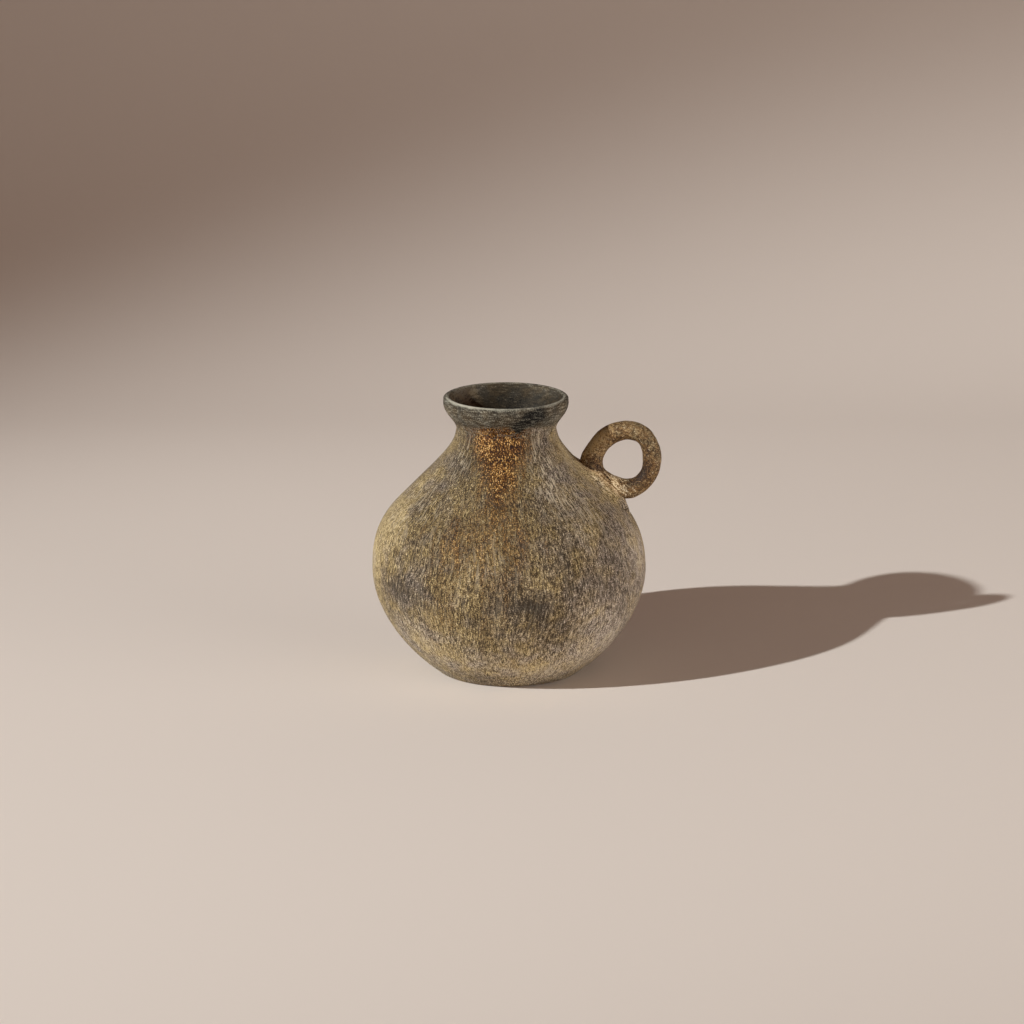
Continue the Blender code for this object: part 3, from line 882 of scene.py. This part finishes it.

# %% [markdown]
# ## Dark slip on the collar
# The collar was dipped in a darker, greener slip and wiped round with a finger, so its strokes run
# level. The dip ends in a ragged line on the neck, lowest at the sides, with one black drip at the
# right of the front; below that line the body's slip goes on. The lip's inner edge is painted pale,
# partly as wear where a hand tips it and partly as a painted highlight where the lamp catches the
# edge, most of all at the left. The inside is wiped smoother; it is painted darker with depth, as
# painted shade, and paler at the back left, as painted light where the rim's shadow falls.

# %% Where the dip ends, where the lip is worn and highlit, and where the inside is shaded
DIP_LEVEL, DIP_RISE, DIP_SPREAD = 109.3, 2.2, 38
DIP_INSIDE, INNER_FADE = 20, 2
COLLAR_LIFT = [(-66, 114, 22, 8, 0.26), (11, 109, 5, 3, -1.3), (16, 111.5, 5, 2.5, -1.5),
               (22, 114.5, 6, 2.5, -1.5), (30, 117, 7, 2.5, -1.1), (60, 114, 18, 8, 0.28),
               (170, 113, 40, 8, 0.08)]
DRIP = [(13, 0, 6, 1, 3.4)]
# the inside is painted: DEEP_SHADE darkens it with depth and INNER_SHADE all over, as painted shade;
# the patch at -125 in INNER_LIFT paints the back left paler, as painted light where the rim's shadow
# falls
INNER_SHADE, DEEP_SHADE = 0.02, 0.025
INNER_LIFT = [(-125, 0, 38, 1, 0.72), (180, 0, 30, 1, -0.14), (138, 0, 25, 1, 0.30)]
WIPED = 0.18
# the pale line along the lip's inner edge: partly wear, partly a painted highlight where the lamp
# catches the edge, strongest at the left
WEAR_AND_HIGHLIGHT_SHIFT, WEAR_AND_HIGHLIGHT_WIDTH = 0.75, 0.9
WEAR_AND_HIGHLIGHT = [(-52, 0, 30, 1, 0.90), (-8, 0, 30, 1, 0.40), (62, 0, 40, 1, 0.42), (150, 0, 60, 1, 0.20),
        (-140, 0, 50, 1, 0.20)]

bearing, height = bearing_and_height(points_of(collar))
ring_number = np.arange(len(bearing)) // AROUND
past_crest = (collar_reach - collar_reach[CREST_RING])[ring_number] / MM
from_wear_and_highlight = past_crest + WEAR_AND_HIGHLIGHT_SHIFT * np.cos(np.radians(bearing))
inner = np.clip(past_crest / INNER_FADE, 0.0, 1.0)
level = np.zeros(len(bearing))
dip_end = DIP_LEVEL + DIP_RISE * np.exp(-(bearing / DIP_SPREAD) ** 2) - painted(bearing, level, DRIP)
keep_numbers(collar, "dipped", height - dip_end + DIP_INSIDE * inner)
worn_and_highlit = painted(bearing, level, WEAR_AND_HIGHLIGHT) * np.exp(-(from_wear_and_highlight / WEAR_AND_HIGHLIGHT_WIDTH) ** 2)
keep_numbers(collar, "worn_and_highlit", worn_and_highlit - WIPED * inner)
outside_lift = painted(bearing, height, COLLAR_LIFT)
inside_lift = painted(bearing, level, INNER_LIFT) - INNER_SHADE - DEEP_SHADE * past_crest
keep_numbers(collar, "dark_lift", outside_lift * (1 - inner) + inside_lift * inner)
print("the dip ends", round(dip_end.min(), 1), "to", round(dip_end.max(), 1), "mm above the floor")

# %% The dark slip
DARK_STRETCH = (0.14, 0.14, 1.0)
DARK_STROKE, DARK_CLOUD, DARK_RANGE = 0.7 * MM, 9 * MM, 0.26
MOSS = ("#0F0D0B", "#2A2722", "#36322B", "#423D34", "#514C43", "#7B756A")
UMBER = ("#0F0C08", "#2B241A", "#393023", "#463B2C", "#564B3A", "#80725C")
RUBBED_AND_HIGHLIGHT = "#BDB8A6"
DIP_FRAY = 5.0
WEAR_AND_HIGHLIGHT_FRAY, WEAR_AND_HIGHLIGHT_GAIN = 2.0, 1.3

collar_material, tree, surface = new_material("dark_slip_on_rolled_clay")
below, grain = slip(tree)
dark, streaks = clay(tree, DARK_STRETCH, DARK_STROKE, SLIP_GRIT, DARK_CLOUD, MOSS, UMBER,
                     "dark_lift", DARK_RANGE)
dipped = add(tree, "ShaderNodeAttribute", attribute_name="dipped")["Fac"]
frayed = add(tree, "ShaderNodeMath", {0: grain, 1: DIP_FRAY, 2: dipped}, operation="MULTIPLY_ADD")[0]
covered = add(tree, "ShaderNodeMath", {0: frayed, 1: DIP_FRAY / 2}, operation="SUBTRACT",
              use_clamp=True)[0]
colour = add(tree, "ShaderNodeMix", {0: covered, 6: below, 7: dark}, data_type="RGBA")[2]
# the pale lip line: partly wear, partly a painted highlight on the edge
worn_and_highlit = add(tree, "ShaderNodeAttribute", attribute_name="worn_and_highlit")["Fac"]
rubbed_and_highlit = add(tree, "ShaderNodeMath", {0: streaks, 1: WEAR_AND_HIGHLIGHT_FRAY, 2: -WEAR_AND_HIGHLIGHT_FRAY / 2},
             operation="MULTIPLY_ADD")[0]
rubbed_and_highlit = add(tree, "ShaderNodeMath", {0: worn_and_highlit, 1: WEAR_AND_HIGHLIGHT_GAIN, 2: rubbed_and_highlit}, operation="MULTIPLY_ADD",
             use_clamp=True)[0]
colour = add(tree, "ShaderNodeMix", {0: rubbed_and_highlit, 6: colour, 7: linear(RUBBED_AND_HIGHLIGHT)}, data_type="RGBA")[2]
relief = add(tree, "ShaderNodeBump", {"Height": streaks, "Distance": 0.12 * MM, "Strength": 0.6})[0]
tree.links.new(colour, surface.inputs["Base Color"])
tree.links.new(relief, surface.inputs["Normal"])
surface.inputs["Roughness"].default_value = 0.75
surface.inputs["Specular IOR Level"].default_value = 0.15
collar.data.materials.append(collar_material)
print("dark slip:", len(tree.nodes), "nodes")

# %% [markdown]
# ## Handled clay on the ring
# The ring is the same clay without slip, rubbed by fingers: brown and mottled, a little smoother than
# the body, ochre at its upper left, greyer and greener round the right, darkest where it leaves the
# shoulder. Its upper left is also painted paler, as painted light where the collar casts its shadow,
# and its top is painted paler as a painted highlight. Its patches are placed by the bearing on the
# ring and by how far inward they lie, from -90 on the ring's outer side to 90 on the side of its
# hole; a spread of 400 means all round the coil.
# Pale clay from the saddle is smeared up over its foot, in streaks that run down the shoulder.

# %% Where the ring is pale, warm or smeared
# the patches at 152 and 118 degrees paint the upper left paler, partly ochre and partly painted light
# against the collar's cast shadow; the patch at 72 is a painted highlight along the top
RING_LIFT = [(152, -50, 30, 45, 0.70), (152, 50, 28, 45, 0.26), (118, -55, 18, 40, 0.28),
             (72, 0, 30, 400, 0.12), (100, 65, 32, 40, -0.14), (60, -50, 25, 40, 0.14),
             (5, -50, 25, 40, 0.14), (345, 60, 25, 45, -0.42), (322, 60, 20, 45, -0.34),
             (292, 50, 16, 42, -0.30), (298, -50, 18, 40, 0.16), (178, -10, 12, 60, -0.26),
             (196, 0, 14, 400, -0.20)]
RING_WARM = [(120, 0, 45, 400, 0.30), (45, -30, 30, 60, -0.25), (200, 0, 40, 400, 0.40),
             (250, 0, 30, 400, 0.40), (320, 0, 40, 400, 0.50), (350, 50, 35, 45, 0.40)]
SMEARED = [(244, 0, 34, 400, 1.0)]

steps = np.arange(RING_STEPS * COIL_STEPS)
ring_bearing = bearings[steps // COIL_STEPS]
inward = 90 - np.abs(180 - 360 * (steps % COIL_STEPS) / COIL_STEPS)
for name, patches in (("lift", RING_LIFT), ("warm", RING_WARM), ("smeared", SMEARED)):
    keep_numbers(handle, name, painted(ring_bearing, inward, patches))
down_slope = (on_shoulder(MM, 0, 0) - on_shoulder(0, 0, 0)).normalized()
axes = np.array([(0.0, 1.0, 0.0), down_slope.cross(Vector((0.0, 1.0, 0.0))), down_slope])
keep_vectors(handle, "brush", points_of(handle) @ axes.T)
print("ring painted at", len(steps), "points")

# %% The ring's clay
BROWN = ("#28190D", "#3E2917", "#553C21", "#694D2E", "#806440", "#A08459")
OLIVE_BROWN = ("#251B10", "#3C2D1C", "#53422A", "#67553A", "#7E6C4F", "#9E8E6D")
TAN = ("#3A2614", "#6B4E30", "#8E7049", "#AA8C62", "#C7AC84", "#E0CBA6")
CREAM = ("#3E2E1E", "#72593D", "#978060", "#B39C7B", "#CDBA9A", "#E4D6BC")
RING_STRETCH, RING_RANGE = (1.0, 1.0, 1.0), 0.16
RING_STROKE, RING_CLOUD = 1.1 * MM, 4.5 * MM
SMEAR_DRAWN = (1.0, 1.0, 0.2)
SMEAR_STROKE, SMEAR_CLOUD = 0.9 * MM, 5 * MM
SMEAR_FRAY, SMEAR_START = 4.0, 2.3

ring_material, tree, surface = new_material("handled_stoneware_clay")
own = clay(tree, RING_STRETCH, RING_STROKE, SLIP_GRIT, RING_CLOUD, OLIVE_BROWN, BROWN,
           spread=RING_RANGE)[0]
over, grain = clay(tree, SMEAR_DRAWN, SMEAR_STROKE, SLIP_GRIT, SMEAR_CLOUD, CREAM, TAN)
smeared = add(tree, "ShaderNodeAttribute", attribute_name="smeared")["Fac"]
covered = add(tree, "ShaderNodeMath", {0: grain, 1: SMEAR_FRAY, 2: smeared},
              operation="MULTIPLY_ADD")[0]
covered = add(tree, "ShaderNodeMath", {0: covered, 1: SMEAR_START}, operation="SUBTRACT",
              use_clamp=True)[0]
colour = add(tree, "ShaderNodeMix", {0: covered, 6: own, 7: over}, data_type="RGBA")[2]
relief = add(tree, "ShaderNodeBump", {"Height": grain, "Distance": 0.15 * MM, "Strength": 0.6})[0]
tree.links.new(colour, surface.inputs["Base Color"])
tree.links.new(relief, surface.inputs["Normal"])
surface.inputs["Roughness"].default_value = 0.7
surface.inputs["Specular IOR Level"].default_value = 0.25
handle.data.materials.append(ring_material)
print("ring's clay:", len(tree.nodes), "nodes")

# %% [markdown]
# ## Smeared clay on the saddle
# The saddle was drawn out with a wet finger, down the shoulder, so pale grainy streaks run that way
# over brown clay. It wasn't smoked much, since the ring above shields it. Towards its edge the smear
# is thin, and the body's slip shows through between the streaks.

# %% The saddle's clay
SMEAR_LIFT = -0.04
THIN_FROM, THIN_TO = 0.55, 0.95
THIN_FRAY, THIN_START, THIN_GAIN = -4.0, 1.8, 2.0

keep_numbers(saddle, "smear_lift", np.full(len(saddle_reach), SMEAR_LIFT))
saddle_material, tree, surface = new_material("smeared_stoneware_clay")
smear, grain = clay(tree, SMEAR_DRAWN, SMEAR_STROKE, SLIP_GRIT, SMEAR_CLOUD, CREAM, TAN, "smear_lift")
below = slip(tree)[0]
reach = add(tree, "ShaderNodeAttribute", attribute_name="reach")["Fac"]
edge = add(tree, "ShaderNodeMapRange", {"Value": reach, "From Min": THIN_FROM, "From Max": THIN_TO})[0]
thin = add(tree, "ShaderNodeMath", {0: grain, 1: THIN_FRAY, 2: THIN_START},
           operation="MULTIPLY_ADD")[0]
thin = add(tree, "ShaderNodeMath", {0: edge, 1: THIN_GAIN, 2: thin}, operation="MULTIPLY_ADD",
           use_clamp=True)[0]
colour = add(tree, "ShaderNodeMix", {0: thin, 6: smear, 7: below}, data_type="RGBA")[2]
relief = add(tree, "ShaderNodeBump", {"Height": grain, "Distance": 0.2 * MM, "Strength": 0.7})[0]
tree.links.new(colour, surface.inputs["Base Color"])
tree.links.new(relief, surface.inputs["Normal"])
surface.inputs["Roughness"].default_value = 0.9
surface.inputs["Specular IOR Level"].default_value = 0.3
saddle.data.materials.append(saddle_material)
print("saddle's clay:", len(tree.nodes), "nodes")
